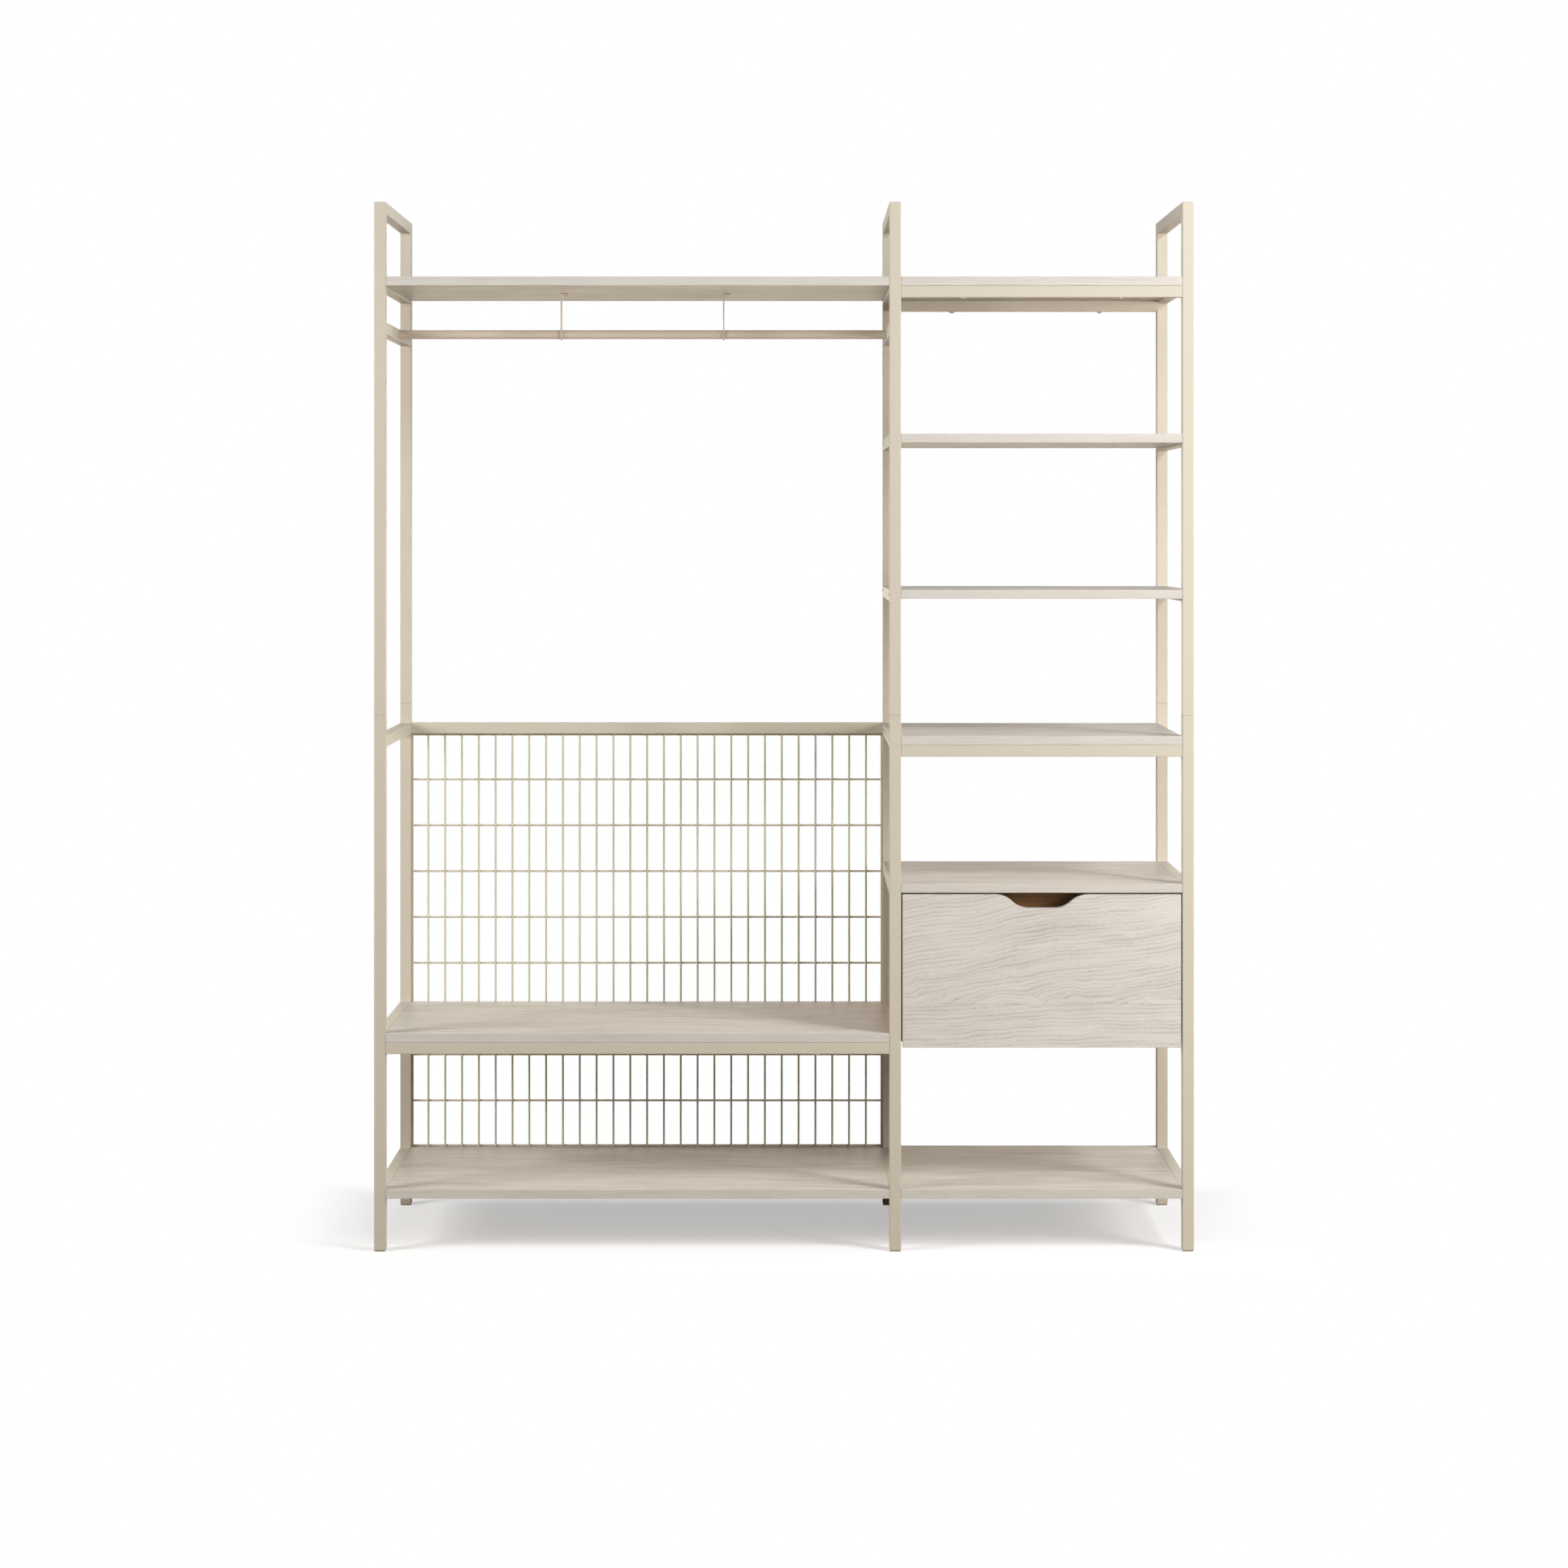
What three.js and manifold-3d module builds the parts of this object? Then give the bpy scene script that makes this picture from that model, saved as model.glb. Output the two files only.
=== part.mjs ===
// Open frame wardrobe, in millimetres. Three ladder frames of square steel tube stand side by side and
// carry pale oak boards. The wide left bay has a hanging rod, a bench and a wire grid at its back. The
// narrow right bay has shelves and one drawer, which runs forward on telescopic runners.
// X runs from left to right, -Y is the front and Z is up. The origin is on the floor, in the middle.
import * as THREE from 'three';
import { mergeVertices } from 'three/addons/utils/BufferGeometryUtils.js';
import Module from 'manifold-3d';

const wasm = await Module();
wasm.setup();

// Overall layout
const overallDepth = 450;
const leftBayWidth = 960;
const rightBayWidth = 536;

// Heights, each counted from the level below it
const bottomShelfHeight = 118;
const benchRise = 297.5;
const spaceUnderDrawer = 270.5;
const shelf4Rise = 281.5;
const shelf3Rise = 278.5;
const shelf2Rise = 297.5;
const topShelfRise = 299.5;
const postRise = 142.5;
const rodDrop = 97.5;
const splitRise = 39.5;

// Square tube of the frames and rails
const tubeSize = 22;
const tubeWall = 1.5;
const tubeCorner = 1.5;
const ventSize = 8;

// Sleeves that join the halves of a post, and glides under the feet
const sleeveLength = 90;
const sleeveWall = 1.5;
const glideHeight = 2.5;
const glideInset = 1;
const glideStemLength = 14;

// Boards
const boardThickness = 17;
const boardEdge = 0.8;

// Hanging rod and its hangers
const rodDiameter = 17.5;
const rodWall = 1.5;
const rodClearance = 0.3;
const hangerWidth = 24;
const hangerThickness = 2.2;
const hangerFlange = 16;
const hangerSpacing = 320;

// Wire grid
const gridWire = 4;
const gridColumnPitch = 34.3;
const gridRowPitch = 93.5;
const gridWeldSink = 0.6;

// Drawer front and its scooped grip
const frontHeight = 292;
const frontThickness = 17;
const frontSideGap = 2.7;
const frontTopGap = 3;
const frontEdge = 0.6;
const scoopWidth = 179;
const scoopFlat = 48;
const scoopDepth = 26.5;

// Drawer box
const boxPanel = 12;
const boxLift = 15.5;
const boxTopGap = 9;
const boxLength = 392;
const boxBottomPanel = 6;
const boxBottomLift = 10;
const grooveDepth = 4;

// Drawer case under shelf 5
const casePanel = 12;
const caseSetback = 2;
const caseLift = 9;
const caseRailHeight = 40;
const fingerRoom = 25;

// Telescopic runners
const runnerLength = 350;
const runnerThickness = 12.5;
const runnerHeight = 46;
const runnerMetal = 1.4;
const runnerFlange = 9;
const runnerPlay = 0.5;
const runnerSetback = 8;

// Screws
const headDiameter = 11;
const headHeight = 3.5;
const shankDiameter = 5;
const shankBite = 12;
const screwPlay = 0.3;
const topScrewInset = 118;
const benchScrewInset = 138;

// Gap that is kept between pieces that lie against each other, and overrun of cutting shapes
const seat = 0.3;
const overrun = 1;

// Steps of an arc, sides of a small round hole and sides of the rod
const cornerSteps = 1;
const scoopSteps = 7;
const holeSides = 8;
const headSides = 12;
const rodSides = 24;

// Places that follow from the sizes
const half = (length) => length / 2;
const boreSize = tubeSize - tubeWall - tubeWall;
const overallWidth = leftBayWidth + rightBayWidth + 3 * tubeSize;
const frontY = -half(overallDepth);
const rearY = half(overallDepth);
const frontPostY = frontY + half(tubeSize);
const rearPostY = rearY - half(tubeSize);
const leftFrameX = -half(overallWidth) + half(tubeSize);
const middleFrameX = leftFrameX + tubeSize + leftBayWidth;
const rightFrameX = middleFrameX + tubeSize + rightBayWidth;
const leftBay = { from: leftFrameX + half(tubeSize), to: middleFrameX - half(tubeSize) };
const rightBay = { from: middleFrameX + half(tubeSize), to: rightFrameX - half(tubeSize) };
const frontBottomZ = bottomShelfHeight + spaceUnderDrawer;
const frontTopZ = frontBottomZ + frontHeight;
const benchZ = bottomShelfHeight + benchRise;
const shelf5Z = frontTopZ + frontTopGap + boardThickness;
const shelf4Z = shelf5Z + shelf4Rise;
const shelf3Z = shelf4Z + shelf3Rise;
const shelf2Z = shelf3Z + shelf2Rise;
const topShelfZ = shelf2Z + topShelfRise;
const overallHeight = topShelfZ + postRise;
const rodZ = topShelfZ - rodDrop;
const splitZ = shelf4Z + splitRise;
const underBoard = (topZ) => topZ - boardThickness;
const railTop = (topZ) => underBoard(topZ) - seat;

// Materials, with the colours of the real finishes
const finish = (color, roughness, metalness) => (
  new THREE.MeshStandardMaterial({ color, roughness, metalness, flatShading: true })
);
const makeCoatedSteel = () => finish('#d9cdb9', 0.55, 0.1);
const makePaleOak = () => finish('#d7cfc4', 0.6, 0);
const makeBrownWood = () => finish('#7a5a3c', 0.6, 0);
const makeZinc = () => finish('#b9bab8', 0.35, 0.9);
const makePlastic = () => finish('#5f5b55', 0.7, 0);

const wardrobe = new THREE.Group();

// A closed geometry becomes a solid that can be joined and cut.
function toSolid(geometry) {
  const plain = geometry.clone();
  plain.deleteAttribute('normal');
  plain.deleteAttribute('uv');
  const merged = mergeVertices(plain);
  return new wasm.Manifold(new wasm.Mesh({
    numProp: 3,
    vertProperties: new Float32Array(merged.attributes.position.array),
    triVerts: new Uint32Array(merged.index.array),
  }));
}

// A solid goes back to a geometry.
function toGeometry(solid) {
  const mesh = solid.getMesh();
  const geometry = new THREE.BufferGeometry();
  geometry.setAttribute('position', new THREE.BufferAttribute(mesh.vertProperties, mesh.numProp));
  geometry.setIndex(new THREE.BufferAttribute(mesh.triVerts, 1));
  geometry.computeVertexNormals();
  return geometry;
}

const joinAll = (shapes) => shapes.map(toSolid).reduce((whole, next) => whole.add(next));
const cutAll = (solid, shapes) => shapes.map(toSolid).reduce((rest, next) => rest.subtract(next), solid);

// Puts a piece into the wardrobe under its own name.
function place(name, shape, material) {
  const geometry = shape.isBufferGeometry ? shape : toGeometry(shape);
  const mesh = new THREE.Mesh(geometry, material);
  mesh.name = name;
  wardrobe.add(mesh);
}

// A block between two corners.
function block(low, high) {
  const size = high.map((value, i) => value - low[i]);
  const geometry = new THREE.BoxGeometry(...size);
  return geometry.translate(...low.map((value, i) => value + half(size[i])));
}

// A rectangular outline about its centre with rounded corners.
function roundedOutline(width, height, radius) {
  const x = half(width) - radius;
  const y = half(height) - radius;
  const quarter = Math.PI / 2;
  const outline = new THREE.Shape();
  outline.absarc(x, y, radius, 0, quarter);
  outline.absarc(-x, y, radius, quarter, 2 * quarter);
  outline.absarc(-x, -y, radius, 2 * quarter, 3 * quarter);
  outline.absarc(x, -y, radius, 3 * quarter, 4 * quarter);
  return outline;
}

function extrude(outline, length, steps) {
  return new THREE.ExtrudeGeometry(outline, { depth: length, bevelEnabled: false, curveSegments: steps });
}

// Bars with rounded edges along each axis, between two places on it.
function barZ(x, y, fromZ, toZ, width, radius) {
  const bar = extrude(roundedOutline(width, width, radius), toZ - fromZ, cornerSteps);
  return bar.translate(x, y, fromZ);
}

function barY(x, z, fromY, toY, width, radius) {
  const bar = extrude(roundedOutline(width, width, radius), toY - fromY, cornerSteps);
  return bar.rotateX(-Math.PI / 2).translate(x, fromY, z);
}

function barX(y, z, fromX, toX, width, height, radius) {
  const bar = extrude(roundedOutline(width, height, radius), toX - fromX, cornerSteps);
  return bar.rotateX(Math.PI / 2).rotateZ(Math.PI / 2).translate(fromX, y, z);
}

// Round bars along X and Z.
function roundX(y, z, fromX, toX, diameter, sides) {
  const round = new THREE.CylinderGeometry(half(diameter), half(diameter), toX - fromX, sides);
  return round.rotateZ(Math.PI / 2).translate(half(fromX + toX), y, z);
}

function roundZ(x, y, fromZ, toZ, diameter, sides) {
  const round = new THREE.CylinderGeometry(half(diameter), half(diameter), toZ - fromZ, sides);
  return round.rotateX(Math.PI / 2).translate(x, y, half(fromZ + toZ));
}

// One half of a ladder frame: two posts and the bars between them, welded. Each bar is open to the posts'
// bores through a vent in the post's wall. A closed frame has a top bar that runs over both posts.
function ladder(x, fromZ, toZ, barTops, closed) {
  const innerFront = frontY + tubeSize;
  const innerRear = rearY - tubeSize;
  const reach = half(boreSize);
  const steel = [];
  const hollows = [];
  for (const y of [frontPostY, rearPostY]) {
    const postTop = closed ? toZ - half(tubeSize) : toZ;
    const boreTop = closed ? toZ - tubeWall : toZ + overrun;
    steel.push(barZ(x, y, fromZ, postTop, tubeSize, tubeCorner));
    hollows.push(block([x - reach, y - reach, fromZ - overrun], [x + reach, y + reach, boreTop]));
  }
  for (const top of barTops) {
    const z = top - half(tubeSize);
    const vent = half(ventSize);
    steel.push(barY(x, z, frontPostY, rearPostY, tubeSize, tubeCorner));
    hollows.push(block([x - reach, innerFront, z - reach], [x + reach, innerRear, z + reach]));
    hollows.push(block([x - vent, frontPostY, z - vent], [x + vent, rearPostY, z + vent]));
  }
  if (closed) {
    const z = toZ - half(tubeSize);
    const ends = half(overallDepth) - tubeWall;
    steel.push(barY(x, z, frontY, rearY, tubeSize, tubeCorner));
    hollows.push(block([x - reach, -ends, z - reach], [x + reach, ends, z + reach]));
  }
  return cutAll(joinAll(steel), hollows);
}

// The three frames, each in two halves
const frames = {
  left: {
    x: leftFrameX,
    lower: [bottomShelfHeight, benchZ, shelf4Z],
    upper: [rodZ + half(tubeSize), topShelfZ],
  },
  middle: {
    x: middleFrameX,
    lower: [bottomShelfHeight, benchZ, shelf5Z, shelf4Z],
    upper: [shelf3Z, shelf2Z, rodZ + half(tubeSize), topShelfZ],
  },
  right: {
    x: rightFrameX,
    lower: [bottomShelfHeight, shelf5Z, railTop(shelf4Z)],
    upper: [shelf3Z, shelf2Z, topShelfZ],
  },
};
for (const [side, frame] of Object.entries(frames)) {
  place(`frame_${side}_lower`, ladder(frame.x, glideHeight, splitZ, frame.lower, false), makeCoatedSteel());
  place(`frame_${side}_upper`, ladder(frame.x, splitZ + seat, overallHeight, frame.upper, true), makeCoatedSteel());
}

// Inner tubes that join the halves of each post
function sleeve(x, y) {
  const outside = half(boreSize) - seat;
  const inside = outside - sleeveWall;
  const low = splitZ - half(sleeveLength);
  const high = splitZ + half(sleeveLength);
  const tube = toSolid(block([x - outside, y - outside, low], [x + outside, y + outside, high]));
  return cutAll(tube, [
    block([x - inside, y - inside, low - overrun], [x + inside, y + inside, high + overrun]),
  ]);
}

// A plastic glide: a pad under the post and a stem that plugs into its bore
function glide(x, y) {
  const pad = half(tubeSize) - glideInset;
  const stem = half(boreSize) - seat;
  const padTop = glideHeight - seat;
  const stemTop = glideHeight + glideStemLength;
  return joinAll([
    barZ(x, y, 0, padTop, pad + pad, tubeCorner),
    block([x - stem, y - stem, half(padTop)], [x + stem, y + stem, stemTop]),
  ]);
}

for (const [side, frame] of Object.entries(frames)) {
  for (const [end, y] of Object.entries({ front: frontPostY, rear: rearPostY })) {
    place(`sleeve_${side}_${end}`, sleeve(frame.x, y), makeZinc());
    place(`glide_${side}_${end}`, glide(frame.x, y), makePlastic());
  }
}

// A board between two frames, from the front plane back, with its long edges eased
function board(bay, topZ, backY) {
  const y = half(frontY + backY);
  const z = topZ - half(boardThickness);
  return barX(y, z, bay.from + seat, bay.to - seat, backY - frontY, boardThickness, boardEdge);
}

// A shank's hole, from a height up into a board's underside
function pilot(x, y, fromZ, boardBottomZ) {
  return roundZ(x, y, fromZ, boardBottomZ + shankBite + screwPlay, shankDiameter + 2 * screwPlay, holeSides);
}

// A rail between two frames, with a hole through both walls for each of its screws
function rail(bay, y, topZ, screwXs) {
  const z = topZ - half(tubeSize);
  const reach = half(boreSize);
  const tube = toSolid(barX(y, z, bay.from + seat, bay.to - seat, tubeSize, tubeSize, tubeCorner));
  const holes = screwXs.map((x) => (
    roundZ(x, y, topZ - tubeSize - overrun, topZ + overrun, shankDiameter + 2 * screwPlay, holeSides)
  ));
  return cutAll(tube, [
    block([bay.from, y - reach, z - reach], [bay.to, y + reach, z + reach]),
    ...holes,
  ]);
}

// A pan head screw, up through a rail and into the board on it
function railScrew(x, y, railTopZ) {
  const headTop = railTopZ - tubeSize - seat;
  const shoulder = half(headHeight);
  const dome = new THREE.CylinderGeometry(
    half(headDiameter), half(headDiameter) - shoulder, shoulder, headSides,
  );
  return joinAll([
    roundZ(x, y, headTop - shoulder, headTop, headDiameter, headSides),
    dome.rotateX(Math.PI / 2).translate(x, y, headTop - shoulder - half(shoulder)),
    roundZ(x, y, headTop - shoulder, railTopZ + seat + shankBite, shankDiameter, holeSides),
  ]);
}

const innerBackY = rearY - tubeSize;
const innerRailY = innerBackY - half(tubeSize);
const insetPair = (bay, inset) => ({ left: bay.from + inset, right: bay.to - inset });
const topScrews = insetPair(rightBay, topScrewInset);
const benchScrews = insetPair(leftBay, benchScrewInset);

// Boards between the frames: the two lowest ones are full depth, the others end at the rear posts' front face
place('board_bottom_left', board(leftBay, bottomShelfHeight, rearY), makePaleOak());
place('board_bottom_right', board(rightBay, bottomShelfHeight, rearY), makePaleOak());
place('board_top_left', board(leftBay, topShelfZ, innerBackY), makePaleOak());
place('board_shelf_2', board(rightBay, shelf2Z, innerBackY), makePaleOak());
place('board_shelf_3', board(rightBay, shelf3Z, innerBackY), makePaleOak());
place('board_shelf_4', board(rightBay, shelf4Z, innerBackY), makePaleOak());
place('board_shelf_5', board(rightBay, shelf5Z, innerBackY), makePaleOak());

// Rails that carry shelf 4 and hold the wire grid
place('rail_shelf_4_front', rail(rightBay, frontPostY, railTop(shelf4Z), []), makeCoatedSteel());
place('rail_shelf_4_rear', rail(rightBay, innerRailY, railTop(shelf4Z), []), makeCoatedSteel());
place('rail_grid_top', rail(leftBay, rearPostY, shelf4Z, []), makeCoatedSteel());

// The top right board and its two screwed rails
const topPilots = [];
for (const [end, y] of Object.entries({ front: frontPostY, rear: innerRailY })) {
  const topZ = railTop(topShelfZ);
  place(`rail_top_${end}`, rail(rightBay, y, topZ, Object.values(topScrews)), makeCoatedSteel());
  for (const [side, x] of Object.entries(topScrews)) {
    place(`screw_top_${end}_${side}`, railScrew(x, y, topZ), makeZinc());
    topPilots.push(pilot(x, y, topZ, underBoard(topShelfZ)));
  }
}
place(
  'board_top_right',
  cutAll(toSolid(board(rightBay, topShelfZ, innerBackY)), topPilots),
  makePaleOak(),
);

// The bench and its screwed front rail
const benchRailZ = railTop(benchZ);
place('rail_bench_front', rail(leftBay, frontPostY, benchRailZ, Object.values(benchScrews)), makeCoatedSteel());
const benchPilots = [];
for (const [side, x] of Object.entries(benchScrews)) {
  place(`screw_bench_${side}`, railScrew(x, frontPostY, benchRailZ), makeZinc());
  benchPilots.push(pilot(x, frontPostY, benchRailZ, underBoard(benchZ)));
}
place('board_bench', cutAll(toSolid(board(leftBay, benchZ, innerBackY)), benchPilots), makePaleOak());

// The hanging rod, a round tube between the rod bars of the left and middle frames
const rodY = 0;
place('hanging_rod', cutAll(
  toSolid(roundX(rodY, rodZ, leftBay.from + seat, leftBay.to - seat, rodDiameter, rodSides)),
  [roundX(rodY, rodZ, leftBay.from, leftBay.to, rodDiameter - 2 * rodWall, rodSides)],
), makeCoatedSteel());

// A hanger: a strap round the rod, bent over at the top to lie under the board
function rodHanger(x) {
  const radius = half(hangerWidth);
  const top = underBoard(topShelfZ) - seat;
  const outline = new THREE.Shape();
  outline.moveTo(radius, top - rodZ);
  outline.lineTo(-radius, top - rodZ);
  outline.absarc(0, 0, radius, Math.PI, 2 * Math.PI);
  const strap = extrude(outline, hangerThickness, rodSides / 2);
  strap.rotateX(Math.PI / 2).rotateZ(Math.PI / 2).translate(x - half(hangerThickness), rodY, rodZ);
  const flange = block(
    [x - half(hangerThickness), rodY - radius, top - hangerThickness],
    [x + hangerFlange, rodY + radius, top],
  );
  const eye = rodDiameter + 2 * rodClearance;
  return cutAll(joinAll([strap, flange]), [
    roundX(rodY, rodZ, x - hangerThickness, x + hangerThickness, eye, rodSides),
  ]);
}
const leftBayMiddle = half(leftBay.from + leftBay.to);
place('rod_hanger_left', rodHanger(leftBayMiddle - half(hangerSpacing)), makeCoatedSteel());
place('rod_hanger_right', rodHanger(leftBayMiddle + half(hangerSpacing)), makeCoatedSteel());

// The wire grid: upright wires in front, level wires welded behind them, and a wire all round
function wireGrid() {
  const reach = half(gridWire);
  const low = bottomShelfHeight + seat;
  const high = shelf4Z - tubeSize - seat;
  const left = leftBay.from + seat;
  const right = leftBay.to - seat;
  const uprightY = rearPostY - reach + half(gridWeldSink);
  const levelY = rearPostY + reach - half(gridWeldSink);
  const wires = [];
  const columns = Math.floor((right - left - gridWire) / gridColumnPitch);
  const rows = Math.floor((high - low - gridWire) / gridRowPitch);
  const xs = [left + reach, right - reach];
  const zs = [low + reach, high - reach];
  for (let i = 0; i < columns; i += 1) {
    xs.push(half(left + right) + (i - half(columns - 1)) * gridColumnPitch);
  }
  for (let i = 0; i < rows; i += 1) {
    zs.push(half(low + high) + (i - half(rows - 1)) * gridRowPitch);
  }
  for (const x of xs) {
    wires.push(block([x - reach, uprightY - reach, low], [x + reach, uprightY + reach, high]));
  }
  for (const z of zs) {
    wires.push(block([left, levelY - reach, z - reach], [right, levelY + reach, z + reach]));
  }
  return joinAll(wires);
}
place('wire_grid', wireGrid(), makeCoatedSteel());

// The drawer front's outline: a rectangle with a scoop in its top edge, whose sides are two arcs each
const frontLeftX = rightBay.from + frontSideGap;
const frontRightX = rightBay.to - frontSideGap;
const frontMiddleX = half(frontLeftX + frontRightX);
function drawerFrontOutline() {
  const run = half(half(scoopWidth - scoopFlat));
  const fall = half(scoopDepth);
  const turn = 2 * Math.atan(fall / run);
  const radius = run / Math.sin(turn);
  const width = half(frontRightX - frontLeftX);
  const outer = half(scoopWidth);
  const inner = half(scoopFlat);
  const up = Math.PI / 2;
  const outline = new THREE.Shape();
  outline.moveTo(-width, 0);
  outline.lineTo(width, 0);
  outline.lineTo(width, frontHeight);
  outline.absarc(outer, frontHeight - radius, radius, up, up + turn, false);
  outline.absarc(inner, frontHeight - scoopDepth + radius, radius, turn - up, -up, true);
  outline.absarc(-inner, frontHeight - scoopDepth + radius, radius, -up, -up - turn, true);
  outline.absarc(-outer, frontHeight - radius, radius, up - turn, up, false);
  outline.lineTo(-width, frontHeight);
  return outline;
}

// The drawer's box, between the runners and under the case's rails
const caseTopZ = underBoard(shelf5Z) - seat;
const caseFrom = rightBay.from + seat;
const caseTo = rightBay.to - seat;
const boxFrom = caseFrom + casePanel + runnerThickness + seat;
const boxTo = caseTo - casePanel - runnerThickness - seat;
const boxFrontY = frontY + frontThickness + seat;
const boxBackY = boxFrontY + boxLength;
const boxBottomZ = frontBottomZ + boxLift;
const boxTopZ = caseTopZ - caseRailHeight - boxTopGap;
const panelBottomZ = boxBottomZ + boxBottomLift;
const panelTopZ = panelBottomZ + boxBottomPanel;
const panelGrip = grooveDepth - seat;

// The groove round the inside of the box, which holds the bottom panel
const groove = block(
  [boxFrom + boxPanel - grooveDepth, boxFrontY - seat - grooveDepth, panelBottomZ - seat],
  [boxTo - boxPanel + grooveDepth, boxBackY - boxPanel + grooveDepth, panelTopZ + seat],
);
const frontPanel = extrude(drawerFrontOutline(), frontThickness, scoopSteps);
frontPanel.rotateX(Math.PI / 2).translate(frontMiddleX, frontY + frontThickness, frontBottomZ);
place('drawer_front', cutAll(toSolid(frontPanel), [groove]), makePaleOak());
place('drawer_side_left', cutAll(toSolid(block(
  [boxFrom, boxFrontY, boxBottomZ],
  [boxFrom + boxPanel, boxBackY, boxTopZ],
)), [groove]), makeBrownWood());
place('drawer_side_right', cutAll(toSolid(block(
  [boxTo - boxPanel, boxFrontY, boxBottomZ],
  [boxTo, boxBackY, boxTopZ],
)), [groove]), makeBrownWood());
place('drawer_back', cutAll(toSolid(block(
  [boxFrom + boxPanel + seat, boxBackY - boxPanel, boxBottomZ],
  [boxTo - boxPanel - seat, boxBackY, boxTopZ],
)), [groove]), makeBrownWood());
place('drawer_bottom', block(
  [boxFrom + boxPanel - panelGrip, boxFrontY - seat - panelGrip, panelBottomZ],
  [boxTo - boxPanel + panelGrip, boxBackY - boxPanel + panelGrip, panelTopZ],
), makeBrownWood());

// The case: two sides and two upright rails, hung under shelf 5
const caseFrontY = frontY + frontThickness + caseSetback;
const caseBottomZ = frontBottomZ + caseLift;
const caseBackY = rearY - tubeSize;
place('case_side_left', block(
  [caseFrom, caseFrontY, caseBottomZ],
  [caseFrom + casePanel, caseBackY, caseTopZ],
), makeBrownWood());
place('case_side_right', block(
  [caseTo - casePanel, caseFrontY, caseBottomZ],
  [caseTo, caseBackY, caseTopZ],
), makeBrownWood());
const caseRail = (y) => block(
  [caseFrom + casePanel + seat, y, caseTopZ - caseRailHeight],
  [caseTo - casePanel - seat, y + casePanel, caseTopZ],
);
place('case_rail_front', caseRail(frontY + frontThickness + fingerRoom), makeBrownWood());
place('case_rail_rear', caseRail(caseBackY - casePanel), makeBrownWood());

// A runner member is a channel: a web and two flanges that point to the other member.
function channel(webX, direction, flange, height, z) {
  const back = [webX, webX + direction * runnerMetal];
  const arm = [webX, webX + direction * flange];
  const from = caseFrontY + runnerSetback;
  const to = from + runnerLength;
  const top = z + half(height);
  const bottom = z - half(height);
  const span = (pair, lowZ, highZ) => block([Math.min(...pair), from, lowZ], [Math.max(...pair), to, highZ]);
  return joinAll([
    span(back, bottom, top),
    span(arm, bottom, bottom + runnerMetal),
    span(arm, top - runnerMetal, top),
  ]);
}

// Each runner has an outer member on the case, a middle one, and an inner one on the drawer's side.
const runnerZ = half(boxBottomZ + boxTopZ);
const nestedHeight = runnerHeight - 2 * (runnerMetal + runnerPlay);
const innerHeight = nestedHeight - 2 * (runnerMetal + runnerPlay);
const middleStep = runnerMetal + runnerPlay;
const runners = {
  left: { x: caseFrom + casePanel + seat, direction: 1 },
  right: { x: caseTo - casePanel - seat, direction: -1 },
};
for (const [side, { x, direction }] of Object.entries(runners)) {
  const far = x + direction * (runnerThickness - seat);
  place(`runner_outer_${side}`, channel(x, direction, runnerFlange, runnerHeight, runnerZ), makeZinc());
  place(
    `runner_middle_${side}`,
    channel(x + direction * middleStep, direction, runnerFlange, nestedHeight, runnerZ),
    makeZinc(),
  );
  place(
    `runner_inner_${side}`,
    channel(far, -direction, runnerThickness - seat - 2 * middleStep, innerHeight, runnerZ),
    makeZinc(),
  );
}

export default wardrobe;
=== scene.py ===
import math

import bmesh
import bpy
from mathutils import Matrix, Vector


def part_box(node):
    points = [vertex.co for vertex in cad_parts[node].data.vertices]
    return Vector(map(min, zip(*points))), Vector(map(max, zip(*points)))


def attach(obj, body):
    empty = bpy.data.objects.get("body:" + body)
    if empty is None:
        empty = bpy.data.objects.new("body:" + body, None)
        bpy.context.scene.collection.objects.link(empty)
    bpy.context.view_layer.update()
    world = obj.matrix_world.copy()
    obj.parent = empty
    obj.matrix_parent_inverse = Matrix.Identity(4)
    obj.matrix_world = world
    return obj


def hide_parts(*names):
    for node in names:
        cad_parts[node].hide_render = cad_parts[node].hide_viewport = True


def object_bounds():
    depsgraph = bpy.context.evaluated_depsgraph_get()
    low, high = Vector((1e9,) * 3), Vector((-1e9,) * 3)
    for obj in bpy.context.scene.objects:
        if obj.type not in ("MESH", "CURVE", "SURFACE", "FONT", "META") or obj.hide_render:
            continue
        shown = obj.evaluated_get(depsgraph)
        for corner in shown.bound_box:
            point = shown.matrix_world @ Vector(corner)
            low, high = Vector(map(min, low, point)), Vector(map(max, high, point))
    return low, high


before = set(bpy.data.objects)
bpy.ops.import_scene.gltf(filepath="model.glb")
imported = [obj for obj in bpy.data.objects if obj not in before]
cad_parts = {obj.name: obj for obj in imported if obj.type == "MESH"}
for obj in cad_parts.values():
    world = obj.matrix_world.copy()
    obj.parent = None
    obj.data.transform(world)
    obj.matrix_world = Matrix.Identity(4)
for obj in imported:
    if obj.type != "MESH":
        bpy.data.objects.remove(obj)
cad_low, cad_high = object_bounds()


# Camera
# It stands level, far in front of the wardrobe and a little above its middle. The shift brings the feet
# and the top bars into the square picture.
CAMERA_DISTANCE = 6.245
CAMERA_HEIGHT = 1.374
CAMERA_LENS = 75.28
CAMERA_SENSOR = 36.0
CAMERA_SHIFT = -0.1618

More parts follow.
